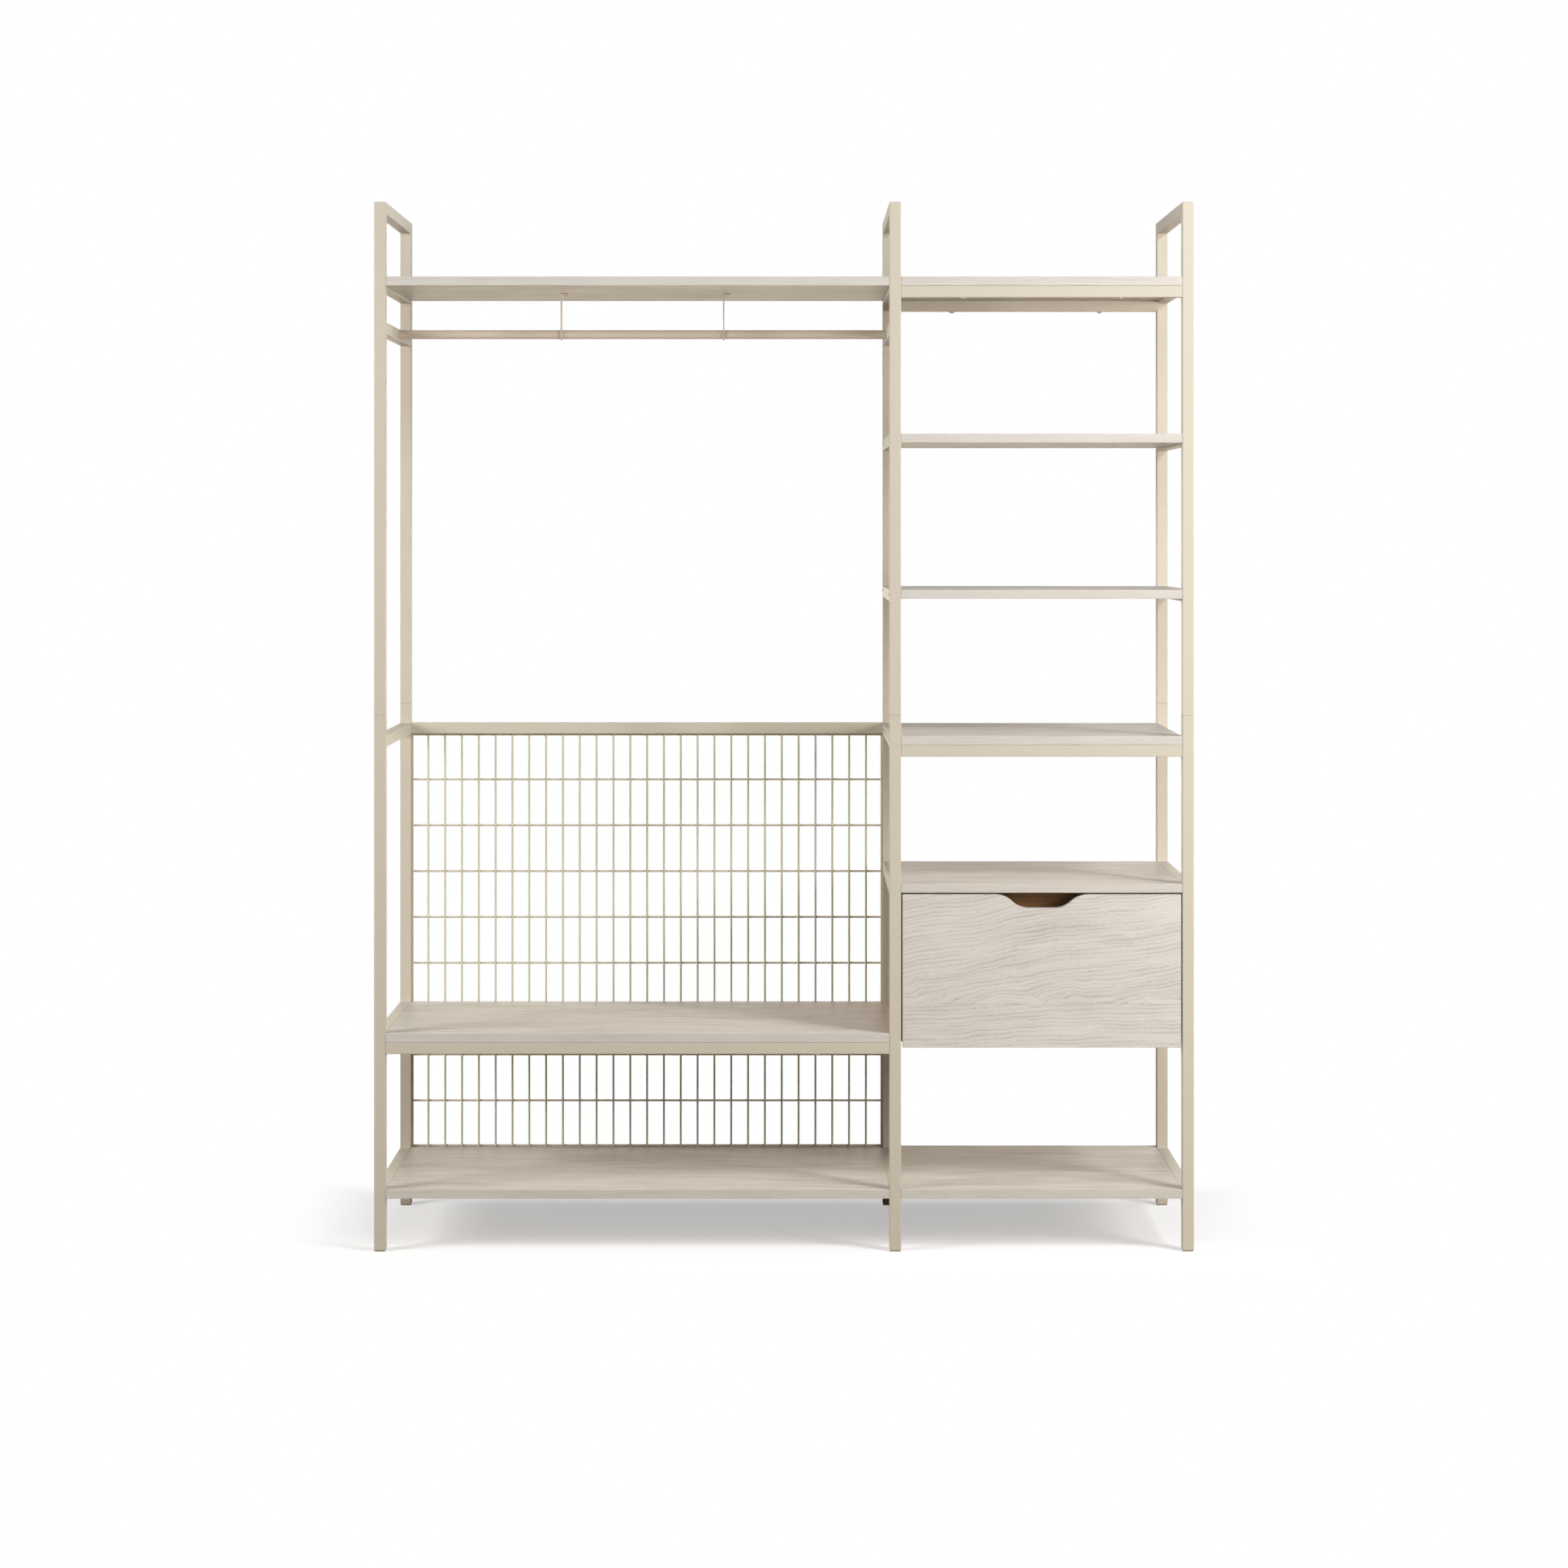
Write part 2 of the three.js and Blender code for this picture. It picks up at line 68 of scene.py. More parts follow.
camera_data = bpy.data.cameras.new("camera")
camera_data.sensor_width = CAMERA_SENSOR
camera_data.lens = CAMERA_LENS
camera_data.shift_y = CAMERA_SHIFT
camera = bpy.data.objects.new("camera", camera_data)
camera.location = (0.0, cad_low.y - CAMERA_DISTANCE, CAMERA_HEIGHT)
camera.rotation_euler = (math.pi / 2, 0.0, 0.0)
bpy.context.scene.collection.objects.link(camera)
bpy.context.scene.camera = camera
bpy.context.scene.view_settings.view_transform = "Standard"


# Studio
# A pale floor keeps the wardrobe's soft shadows and turns plain white away from it. Six softboxes give all
# the light. The white room round them only shows to the camera and in mirrored rays.
WHITE = (1.0, 1.0, 1.0, 1.0)
FLOOR_BOUNCE = (0.38, 0.33, 0.27, 1.0)
FLOOR_TONE = (0.66, 0.66, 0.66, 1.0)
FLOOR_LIFT = 0.45
FLOOR_SIZE = 40.0
WHITE_FROM = -0.05
WHITE_TO = 0.24
AIM_HEIGHT = 0.9


def add_node(tree, kind, inputs=None, **settings):
    """A node with its settings. Its inputs are numbers and colours, or sockets to link."""
    new = tree.nodes.new(kind)
    for key, value in settings.items():
        setattr(new, key, value)
    for key, value in (inputs or {}).items():
        if isinstance(value, bpy.types.NodeSocket):
            tree.links.new(value, new.inputs[key])
        else:
            new.inputs[key].default_value = value
    return new


def calc(tree, operation, *terms):
    """One step of arithmetic on sockets and numbers."""
    return add_node(tree, "ShaderNodeMath", dict(enumerate(terms)), operation=operation).outputs[0]


def seen_ray(tree):
    """One for rays from the camera and for mirrored ones, which show the white studio."""
    ray = add_node(tree, "ShaderNodeLightPath").outputs
    direct = calc(tree, "MAXIMUM", ray["Is Camera Ray"], ray["Is Transmission Ray"])
    return calc(tree, "MAXIMUM", direct, ray["Is Glossy Ray"])


world = bpy.data.worlds.new("studio")
bpy.context.scene.world = world
world.use_nodes = True
room = world.node_tree
room.nodes.clear()
background = add_node(room, "ShaderNodeBackground", {"Color": WHITE, "Strength": seen_ray(room)})
add_node(room, "ShaderNodeOutputWorld", {"Surface": background.outputs[0]})

floor_mesh = bpy.data.meshes.new("floor")
bm = bmesh.new()
bmesh.ops.create_grid(bm, x_segments=1, y_segments=1, size=FLOOR_SIZE / 2)
bm.to_mesh(floor_mesh)
bm.free()
floor = bpy.data.objects.new("floor", floor_mesh)
bpy.context.scene.collection.objects.link(floor)
paper = bpy.data.materials.new("floor_paper")
paper.use_nodes = True
tree = paper.node_tree
tree.nodes.clear()
place = add_node(tree, "ShaderNodeTexCoord").outputs["Object"]
spot = add_node(tree, "ShaderNodeSeparateXYZ", {0: place}).outputs
beside = calc(tree, "SUBTRACT", calc(tree, "ABSOLUTE", spot["X"]), cad_high.x)
behind = calc(tree, "SUBTRACT", calc(tree, "ABSOLUTE", spot["Y"]), cad_high.y)
away = calc(tree, "MAXIMUM", beside, behind)
far = add_node(
    tree, "ShaderNodeMapRange", {"Value": away, "From Min": WHITE_FROM, "From Max": WHITE_TO},
    interpolation_type="SMOOTHSTEP",
).outputs[0]
bounce = add_node(tree, "ShaderNodeBsdfDiffuse", {"Color": FLOOR_BOUNCE}).outputs[0]
paper_shade = add_node(tree, "ShaderNodeBsdfDiffuse", {"Color": FLOOR_TONE}).outputs[0]
lift = add_node(tree, "ShaderNodeEmission", {"Color": WHITE, "Strength": FLOOR_LIFT}).outputs[0]
white = add_node(tree, "ShaderNodeEmission", {"Color": WHITE, "Strength": 1.0}).outputs[0]
near_look = add_node(tree, "ShaderNodeAddShader", {0: paper_shade, 1: lift}).outputs[0]
seen_look = add_node(tree, "ShaderNodeMixShader", {0: far, 1: near_look, 2: white}).outputs[0]
look = add_node(tree, "ShaderNodeMixShader", {0: seen_ray(tree), 1: bounce, 2: seen_look}).outputs[0]
add_node(tree, "ShaderNodeOutputMaterial", {"Surface": look})
floor_mesh.materials.append(paper)


def add_softbox(name, place, width, height, power, tint=WHITE[:3], aim_height=AIM_HEIGHT):
    """A rectangular lamp that faces the wardrobe's middle at a height."""
    lamp = bpy.data.lights.new(name, "AREA")
    lamp.color = tint
    lamp.shape = "RECTANGLE"
    lamp.size = width
    lamp.size_y = height
    lamp.energy = power
    box = bpy.data.objects.new(name, lamp)
    box.location = place
    aim = Vector((0.0, 0.0, aim_height))
    box.rotation_euler = (aim - Vector(place)).to_track_quat("-Z", "Y").to_euler()
    bpy.context.scene.collection.objects.link(box)


# A small high one, a large low one and one at the side stand on the right and draw the shadows.
add_softbox(
    "softbox_right", place=(2.252, -2.028, 3.022), width=0.5, height=0.5, power=41.0,
    tint=(0.88, 0.95, 1.0),
)
add_softbox(
    "softbox_low", place=(3.050, -1.993, 1.543), width=1.2, height=1.2, power=93.0,
    tint=(1.0, 0.965, 0.92),
)
add_softbox("softbox_side", place=(3.136, -0.110, 2.861), width=1.2, height=1.2, power=14.0)
add_softbox(
    "softbox_left", place=(-3.180, -1.550, 1.960), width=1.4, height=1.4, power=87.0,
    tint=(1.0, 0.986, 0.972),
)
add_softbox("softbox_above", place=(0.0, -1.8, 4.2), width=2.2, height=2.2, power=16.0)
add_softbox(
    "softbox_behind", place=(0.0, 4.2, 1.0), width=3.0, height=0.9, power=26.0,
    tint=(1.0, 0.84, 0.6), aim_height=1.0,
)


# Powder coat
# The frames, rails, rod and wire grid are steel with a baked sand coloured powder. Close up it is a fine
# even grain with faint clouding, neither glossy nor quite flat.
COAT_COLOR = (0.680, 0.615, 0.518, 1.0)
COAT_SHADE = (0.640, 0.577, 0.480, 1.0)
COAT_GRAIN = 900.0
COAT_CLOUD = 2.5
COAT_SPECULAR = 0.12
GRAIN_SHARE = 0.35
GRAIN_SMOOTH = 0.42
GRAIN_ROUGH = 0.60


def new_group(name, inputs, outputs):
    """A shader group with named sockets. Returns the group, its input sockets and its output node."""
    group = bpy.data.node_groups.new(name, "ShaderNodeTree")
    for label, kind in inputs.items():
        group.interface.new_socket(name=label, in_out="INPUT", socket_type="NodeSocket" + kind)
    for label, kind in outputs.items():
        group.interface.new_socket(name=label, in_out="OUTPUT", socket_type="NodeSocket" + kind)
    return group, group.nodes.new("NodeGroupInput").outputs, group.nodes.new("NodeGroupOutput")


coat_group, given, result = new_group(
    "powder_grain",
    {"Place": "Vector", "Color": "Color", "Shade": "Color", "Grain": "Float", "Cloud": "Float"},
    {"Color": "Color", "Roughness": "Float", "Height": "Float"},
)
grain = add_node(
    coat_group, "ShaderNodeTexNoise",
    {"Vector": given["Place"], "Scale": given["Grain"], "Detail": 2.0, "Roughness": 0.6},
).outputs[0]
cloud = add_node(
    coat_group, "ShaderNodeTexNoise", {"Vector": given["Place"], "Scale": given["Cloud"], "Detail": 3.0},
).outputs[0]
fine = calc(coat_group, "MULTIPLY", grain, GRAIN_SHARE)
broad = calc(coat_group, "MULTIPLY", cloud, 1.0 - GRAIN_SHARE)
blend = calc(coat_group, "ADD", fine, broad)
tone = add_node(
    coat_group, "ShaderNodeMix", {"Factor": blend, "A": given["Color"], "B": given["Shade"]},
    data_type="RGBA",
)
roughness = add_node(
    coat_group, "ShaderNodeMapRange", {"Value": grain, "To Min": GRAIN_SMOOTH, "To Max": GRAIN_ROUGH},
).outputs[0]
coat_group.links.new(tone.outputs["Result"], result.inputs["Color"])
coat_group.links.new(roughness, result.inputs["Roughness"])
coat_group.links.new(grain, result.inputs["Height"])


def new_material(name):
    """A material with a Principled BSDF. Returns it, its tree, the BSDF and the object coordinates."""
    material = bpy.data.materials.new(name)
    material.use_nodes = True
    tree = material.node_tree
    tree.nodes.clear()
    bsdf = add_node(tree, "ShaderNodeBsdfPrincipled")
    add_node(tree, "ShaderNodeOutputMaterial", {"Surface": bsdf.outputs[0]})
    return material, tree, bsdf, add_node(tree, "ShaderNodeTexCoord").outputs["Object"]


def use_group(tree, group, bsdf, values, bump, depth=0.0001):
    """Places a group in a material and feeds its colour, roughness and height to the BSDF."""
    placed = add_node(tree, "ShaderNodeGroup", values, node_tree=group)
    relief = add_node(
        tree, "ShaderNodeBump", {"Height": placed.outputs["Height"], "Strength": bump, "Distance": depth},
    )
    tree.links.new(placed.outputs["Color"], bsdf.inputs["Base Color"])
    tree.links.new(placed.outputs["Roughness"], bsdf.inputs["Roughness"])
    tree.links.new(relief.outputs[0], bsdf.inputs["Normal"])


def powder_coating(name, color, shade):
    """The baked coat in one tone."""
    coating, tree, bsdf, place = new_material(name)
    bsdf.inputs["Specular IOR Level"].default_value = COAT_SPECULAR
    use_group(tree, coat_group, bsdf, {
        "Place": place, "Color": color, "Shade": shade, "Grain": COAT_GRAIN, "Cloud": COAT_CLOUD,
    }, bump=0.25)
    return coating


powder_coat = powder_coating("powder_coat", COAT_COLOR, COAT_SHADE)


# Frames
# Three welded ladder frames of 22 mm square steel tube. Each one comes in a lower and an upper half, which
# meet at a fine joint line in the posts. The tube's corners are rolled, and small welds hold the bars.
TUBE = 0.022
TUBE_CORNER = 0.0012
TUBE_END = 0.0004
CORNER_STEPS = 3
EDGE_STEPS = 2
WELD = 0.0009
WELD_SIDES = 10
TOP = cad_high.z
SAME = 1e-6
SMOOTH_ANGLE = math.radians(50)

# What the cross bars of each frame carry or hold, from the floor up: the lower half's, then the upper half's.
FRAME_BARS = {
    "left": (
        ("board_bottom_left", "board_bench", "rail_grid_top"),
        ("hanging_rod", "board_top_left"),
    ),
    "middle": (
        ("board_bottom_left", "board_bench", "board_shelf_5", "board_shelf_4"),
        ("board_shelf_3", "board_shelf_2", "hanging_rod", "board_top_left"),
    ),
    "right": (
        ("board_bottom_right", "board_shelf_5", "rail_shelf_4_front"),
        ("board_shelf_3", "board_shelf_2", "board_top_right"),
    ),
}


def bar_top(node):
    """The upper face of the bar that holds a node: level with boards and rails, and centred on the rod."""
    low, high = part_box(node)
    return (low.z + high.z + TUBE) / 2 if node == "hanging_rod" else high.z


def add_bar(bm, low, high, axis, corner, end=0.0):
    """A bar between two corners. Its long edges are rounded, and its ends are eased."""
    low, high = Vector(low), Vector(high)
    place = Matrix.Translation((low + high) / 2) @ Matrix.Diagonal((*(high - low), 1.0))
    made = bmesh.ops.create_cube(bm, size=1.0, matrix=place)["verts"]
    edges = {edge for vert in made for edge in vert.link_edges}
    along = [edge for edge in edges if abs(edge.verts[0].co[axis] - edge.verts[1].co[axis]) > SAME]
    rounded = bmesh.ops.bevel(
        bm, geom=along, offset=corner, segments=CORNER_STEPS, profile=0.5, affect="EDGES", material=-1,
    )
    if end:
        faces = {face for vert in rounded["verts"] for face in vert.link_faces}
        caps = [
            face for face in faces
            if all(abs(vert.co[axis] - face.verts[0].co[axis]) < SAME for vert in face.verts)
        ]
        rims = {edge for face in caps for edge in face.edges}
        bmesh.ops.bevel(
            bm, geom=list(rims), offset=end, segments=EDGE_STEPS, profile=0.5, affect="EDGES", material=-1,
            clamp_overlap=True,
        )


def add_round(bm, middle, radius, length, sides, lying=True, tip=None):
    """A round bar about a point, along X or upright, with another radius at its far end if one is given."""
    turn = Matrix.Rotation(math.pi / 2, 4, "Y") if lying else Matrix.Identity(4)
    bmesh.ops.create_cone(
        bm, cap_ends=True, segments=sides, radius1=radius, radius2=radius if tip is None else tip,
        depth=length, matrix=Matrix.Translation(middle) @ turn,
    )


def new_piece(name, bm, material, slot, *nodes, body="wardrobe"):
    """Makes a piece of the mesh, with even shading, that stands for its CAD nodes."""
    mesh = bpy.data.meshes.new(name)
    bmesh.ops.recalc_face_normals(bm, faces=bm.faces)
    bm.to_mesh(mesh)
    bm.free()
    mesh.materials.append(material)
    mesh.shade_smooth()
    mesh.set_sharp_from_angle(angle=SMOOTH_ANGLE)
    piece = bpy.data.objects.new(name, mesh)
    bpy.context.scene.collection.objects.link(piece)
    even = piece.modifiers.new("even_shading", "WEIGHTED_NORMAL")
    even.keep_sharp = True
    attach(piece, body)
    if nodes:
        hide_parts(*nodes)


for side, halves in FRAME_BARS.items():
    for half, held in zip(("lower", "upper"), halves):
        node = f"frame_{side}_{half}"
        low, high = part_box(node)
        closed = half == "upper"
        bm = bmesh.new()
        post_top = TOP - TUBE + TUBE_CORNER if closed else high.z
        for y in (low.y, high.y - TUBE):
            add_bar(bm, (low.x, y, low.z), (high.x, y + TUBE, post_top), 2, TUBE_CORNER, TUBE_END)
        if closed:
            add_bar(bm, (low.x, low.y, TOP - TUBE), (high.x, high.y, TOP), 1, TUBE_CORNER, TUBE_CORNER)
        inner_front, inner_rear = low.y + TUBE, high.y - TUBE
        tops = [bar_top(name) for name in held]
        for top in tops:
            add_bar(
                bm, (low.x, inner_front - TUBE_CORNER, top - TUBE), (high.x, inner_rear + TUBE_CORNER, top),
                1, TUBE_CORNER,
            )
        welds = [z for top in tops for z in (top, top - TUBE)] + ([TOP - TUBE] if closed else [])
        for z in welds:
            for y in (inner_front, inner_rear):
                add_round(bm, ((low.x + high.x) / 2, y, z), WELD, TUBE - 2 * TUBE_CORNER, WELD_SIDES)
        new_piece(f"{node}_tube", bm, powder_coat, "coated_steel", node)


# Rails
# The same tube, cut to the width of a bay and screwed between the posts. Each one carries a board or holds
# the top of the wire grid.
RAILS = ("top_front", "top_rear", "shelf_4_front", "shelf_4_rear", "bench_front", "grid_top")
for name in RAILS:
    node = f"rail_{name}"
    bm = bmesh.new()
    add_bar(bm, *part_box(node), 0, TUBE_CORNER, TUBE_END)
    new_piece(f"{node}_tube", bm, powder_coat, "coated_steel", node)


# Hanging rod
# A round steel tube under the top board of the wide bay, in the frames' sand coat made paler: painted
# light that makes up for the shade of the board and bars above it. Its ends butt against the bars of two
# frames.
ROD_SIDES = 64
ROD_EDGE = 0.0005
# A paler copy of the frames' coat: painted light for the rod and straps, which sit in the shade of the top
# board.
PAINTED_LIGHT_COAT_COLOR = (0.840, 0.745, 0.635, 1.0)
PAINTED_LIGHT_COAT_SHADE = (0.800, 0.705, 0.594, 1.0)
painted_light_coat = powder_coating("painted_light_powder_coat", PAINTED_LIGHT_COAT_COLOR, PAINTED_LIGHT_COAT_SHADE)

low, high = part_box("hanging_rod")
bm = bmesh.new()
add_round(bm, (low + high) / 2, (high.z - low.z) / 2, high.x - low.x, ROD_SIDES)
rims = [edge for edge in bm.edges if any(len(face.verts) > 4 for face in edge.link_faces)]
bmesh.ops.bevel(
    bm, geom=rims, offset=ROD_EDGE, segments=EDGE_STEPS, profile=0.5, affect="EDGES", material=-1,
)
new_piece("hanging_rod_tube", bm, painted_light_coat, "coated_steel", "hanging_rod")


# Rod hangers
# Two straps of sheet steel, bent over at the top and screwed to the board. The rod passes through an eye.
# They have the rod's coat, painted paler to make up for the shade under the board.
HANGER_EDGE = 0.0004
FLAT_ANGLE = math.radians(1)
SHARP_ANGLE = math.radians(40)


def eased_copy(node, edge):
    """A merged copy of a CAD node with flat faces made whole and its sharp edges eased."""
    bm = bmesh.new()
    bm.from_mesh(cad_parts[node].data)
    bmesh.ops.remove_doubles(bm, verts=bm.verts, dist=SAME)
    bmesh.ops.dissolve_limit(bm, angle_limit=FLAT_ANGLE, verts=bm.verts, edges=bm.edges)
    sharp = [line for line in bm.edges if len(line.link_faces) == 2 and line.calc_face_angle() > SHARP_ANGLE]
    bmesh.ops.bevel(
        bm, geom=sharp, offset=edge, segments=EDGE_STEPS, profile=0.5, affect="EDGES", material=-1,
        clamp_overlap=True,
    )
    return bm


for side in ("left", "right"):
    node = f"rod_hanger_{side}"
    new_piece(f"{node}_strap", eased_copy(node, HANGER_EDGE), painted_light_coat, "coated_steel", node)


# Wire grid
# A welded panel of 4 mm wire at the back of the wide bay: upright wires in front, level ones behind them
# and a wire all round. Every crossing is fused, so the wires sink into each other a little.
WIRE = 0.004
WIRE_SIDES = 12
WIRE_SINK = 0.0006
COLUMN_PITCH = 0.0343
ROW_PITCH = 0.0935
# The wires get a lighter copy of the frames' coat: painted light for wires that sit in the shade of the bench
# and boards.
WIRE_PAINTED_LIGHT_COLOR = (0.745, 0.680, 0.530, 1.0)
WIRE_PAINTED_LIGHT_SHADE = (0.705, 0.640, 0.490, 1.0)
wire_painted_light_coat = powder_coating("wire_powder_coat_painted_light", WIRE_PAINTED_LIGHT_COLOR, WIRE_PAINTED_LIGHT_SHADE)


def spread(low, high, pitch):
    """Places at a pitch about the middle of a width, with one at each end."""
    reach = WIRE / 2
    count = math.floor((high - low - WIRE) / pitch)
    inner = [(low + high) / 2 + (number - (count - 1) / 2) * pitch for number in range(count)]
    return [low + reach, high - reach] + inner


low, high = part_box("wire_grid")
middle = (low + high) / 2
apart = (WIRE - WIRE_SINK) / 2
bm = bmesh.new()
for x in spread(low.x, high.x, COLUMN_PITCH):
    add_round(bm, (x, middle.y - apart, middle.z), WIRE / 2, high.z - low.z, WIRE_SIDES, lying=False)
for z in spread(low.z, high.z, ROW_PITCH):
    add_round(bm, (middle.x, middle.y + apart, z), WIRE / 2, high.x - low.x, WIRE_SIDES)
new_piece("wire_grid_wires", bm, wire_painted_light_coat, "coated_steel", "wire_grid")


# Boards
# Nine particle boards, 17 mm thick, faced and edged in whitewashed oak with the grain along the board. They
# lie between the frames, flush with the bars that carry them, and screws hold their ends.
BOARD_EDGE = 0.0006
BOARD_END = 0.0003
OAK_LIGHT = (0.718, 0.661, 0.594, 1.0)
OAK_DARK = (0.372, 0.313, 0.252, 1.0)
OAK_SPECULAR = 0.1
OAK_SMOOTH = 0.48
OAK_ROUGH = 0.68
EDGING_LIGHT = (0.700, 0.660, 0.612, 1.0)
EDGING_CONTRAST = 0.45
FACE_CONTRAST = 1.05
NO_JOINT = -1.0

# Under a plank joint the grain is taken from further on, and runs straighter. Above it, it folds into pale
# flames that lean and die out with height.
NEXT_PLANK = 3.7
PLANK_CALM = 0.7
SEAM_WIDTH = 0.0008
FLAME_REACH = 0.028
FLAME_LEAN = 0.9
FLAME_FOLD = 0.09
FOLD_MIDDLE = 0.45
NOISE_MIDDLE = 0.5
SWAY_SHARE = 0.10
RING_WANDER = 1.6
RING_START = 0.22
RING_FADE = 1.6
RING_RELIEF = 0.4
PORE_IN_RING = 0.75
PORE_ELSEWHERE = 0.25

# How much each of these darkens the wood, at its strongest.
RING_DARK = 0.52
PORE_DARK = 0.36
FIBRE_DARK = 0.45
PATCH_DARK = 0.40
BAND_DARK = 0.60
SEAM_DARK = 0.22
FLAME_PALE = 0.30
BASE_DARK = 0.02

oak_group, given, result = new_group(
    "limed_oak",
    {"Place": "Vector", "Light": "Color", "Dark": "Color", "Spacing": "Float", "Wave": "Float",
     "Slope": "Float", "Curve": "Float", "Joint": "Float", "Contrast": "Float"},
    {"Color": "Color", "Roughness": "Float", "Height": "Float"},
)


def plus(first, *others):
    """The sum of sockets and numbers in the oak group."""
    for term in others:
        first = calc(oak_group, "ADD", first, term)
    return first


def times(first, *others):
    """The product of sockets and numbers in the oak group."""
    for term in others:
        first = calc(oak_group, "MULTIPLY", first, term)
    return first


def minus(first, second):
    """The difference of two sockets or numbers in the oak group."""
    return calc(oak_group, "SUBTRACT", first, second)


def fading(distance, reach):
    """One at no distance, which falls off to a third at the reach."""
    return calc(oak_group, "EXPONENT", times(distance, -1.0 / reach))


def streaks(x, y, z, along, across, detail=1.0):
    """Noise that is long along the grain and short across it. Both scales are in waves a metre."""
    stretched = add_node(
        oak_group, "ShaderNodeCombineXYZ", {0: times(x, along), 1: times(y, across), 2: times(z, across)},
    ).outputs[0]
    return add_node(
        oak_group, "ShaderNodeTexNoise", {"Vector": stretched, "Scale": 1.0, "Detail": detail},
    ).outputs[0]


def span(tree, value, low, high, new_low=0.0, new_high=1.0):
    """Maps a range of values to another one, and keeps to it."""
    return add_node(tree, "ShaderNodeMapRange", {
        "Value": value, "From Min": low, "From Max": high, "To Min": new_low, "To Max": new_high,
    }).outputs[0]


parts = add_node(oak_group, "ShaderNodeSeparateXYZ", {0: given["Place"]}).outputs
x, y, z = parts["X"], parts["Y"], parts["Z"]
lower = calc(oak_group, "LESS_THAN", z, given["Joint"])
plank = plus(y, times(lower, NEXT_PLANK))
calm = minus(1.0, times(lower, PLANK_CALM))
height = minus(z, given["Joint"])
near_joint = times(fading(height, FLAME_REACH), minus(1.0, lower))
leaning = plus(x, times(height, FLAME_LEAN))

# The lines of the grain: a slow bend, a quicker sway, the climb over the board's length and the folds.
bend = minus(streaks(x, plank, z, along=5.0, across=2.2), NOISE_MIDDLE)
sway = minus(streaks(x, plank, z, along=24.0, across=14.0), NOISE_MIDDLE)
climb = plus(given["Slope"], times(given["Curve"], x))
fold = minus(streaks(leaning, 0.0, z, along=9.0, across=9.0, detail=2.0), FOLD_MIDDLE)
flow = plus(
    times(bend, given["Wave"], calm),
    times(sway, times(given["Wave"], SWAY_SHARE)),
    times(x, climb, calm),
    times(near_joint, fold, FLAME_FOLD),
)
layer = plus(plank, z, flow)

# Each growth ring starts with a dark line full of pores and pales after it.
rings = calc(oak_group, "DIVIDE", layer, given["Spacing"])
wander = times(streaks(x, layer, 0.0, along=5.0, across=40.0), RING_WANDER)
step = calc(oak_group, "FRACT", plus(rings, wander))
paling = calc(oak_group, "POWER", minus(1.0, step), RING_FADE)
early = times(span(oak_group, step, low=0.0, high=RING_START), paling)
strokes = streaks(x, layer, 0.0, along=9.0, across=60.0, detail=2.0)
weight = span(oak_group, strokes, low=0.34, high=0.60)
dashes = streaks(x, layer, 0.0, along=90.0, across=900.0, detail=2.0)
open_pores = span(oak_group, dashes, low=0.45, high=0.62)
pores = times(open_pores, plus(times(early, PORE_IN_RING), PORE_ELSEWHERE))
fibre = minus(streaks(x, layer, 0.0, along=14.0, across=420.0, detail=3.0), NOISE_MIDDLE)
patch = minus(streaks(x, layer, 0.0, along=3.0, across=12.0, detail=2.0), NOISE_MIDDLE)
band = minus(streaks(x, layer, 0.0, along=4.5, across=55.0, detail=2.0), NOISE_MIDDLE)
seam = fading(calc(oak_group, "ABSOLUTE", height), SEAM_WIDTH)
flames = streaks(leaning, 0.0, z, along=14.0, across=34.0, detail=2.0)
blaze = times(span(oak_group, flames, low=0.50, high=0.68), near_joint)
darkened = plus(
    times(early, weight, RING_DARK),
    times(pores, PORE_DARK),
    times(fibre, FIBRE_DARK),
    times(patch, PATCH_DARK),
    times(band, BAND_DARK),
    times(seam, SEAM_DARK),
)
dark = minus(darkened, times(blaze, FLAME_PALE))
tone = times(plus(dark, BASE_DARK), given["Contrast"])
color = add_node(
    oak_group, "ShaderNodeMix", {"Factor": tone, "A": given["Light"], "B": given["Dark"]}, data_type="RGBA",
)
relief = minus(1.0, plus(pores, times(early, RING_RELIEF)))
roughness = span(oak_group, dark, low=0.0, high=0.7, new_low=OAK_SMOOTH, new_high=OAK_ROUGH)
oak_group.links.new(color.outputs["Result"], result.inputs["Color"])
oak_group.links.new(roughness, result.inputs["Roughness"])
oak_group.links.new(relief, result.inputs["Height"])

# The strip of edging along the front is a little greyer and has quieter grain than the faces.
oak_board, tree, bsdf, place = new_material("limed_oak_board")
bsdf.inputs["Specular IOR Level"].default_value = OAK_SPECULAR
inward = add_node(tree, "ShaderNodeSeparateXYZ", {0: place}).outputs["Y"]
face = span(tree, inward, cad_low.y, cad_low.y + BOARD_EDGE)
light = add_node(tree, "ShaderNodeMix", {"Factor": face, "A": EDGING_LIGHT, "B": OAK_LIGHT}, data_type="RGBA")
use_group(tree, oak_group, bsdf, {
    "Place": place, "Light": light.outputs["Result"], "Dark": OAK_DARK, "Spacing": 0.0065, "Wave": 0.034,
    "Slope": 0.004, "Curve": 0.0, "Joint": NO_JOINT,
    "Contrast": span(tree, face, 0.0, 1.0, EDGING_CONTRAST, FACE_CONTRAST),
}, bump=0.25)
BOARDS = ("top_left", "top_right", "shelf_2", "shelf_3", "shelf_4", "shelf_5", "bench", "bottom_left",
          "bottom_right")
for name in BOARDS:
    node = f"board_{name}"
    bm = bmesh.new()
    add_bar(bm, *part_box(node), 0, BOARD_EDGE, BOARD_END)
    new_piece(f"{node}_panel", bm, oak_board, "pale_oak", node)


# Drawer front
# Whitewashed oak like the boards, with bolder grain and a plank joint in its lower third. The grip is a
# scoop sawn out of the top edge. It is screwed to the drawer box from inside.
FRONT_EDGE = 0.0006
FRONT_JOINT = 0.472
FRONT_LIGHT = (0.752, 0.714, 0.671, 1.0)
FRONT_DARK = (0.390, 0.345, 0.291, 1.0)

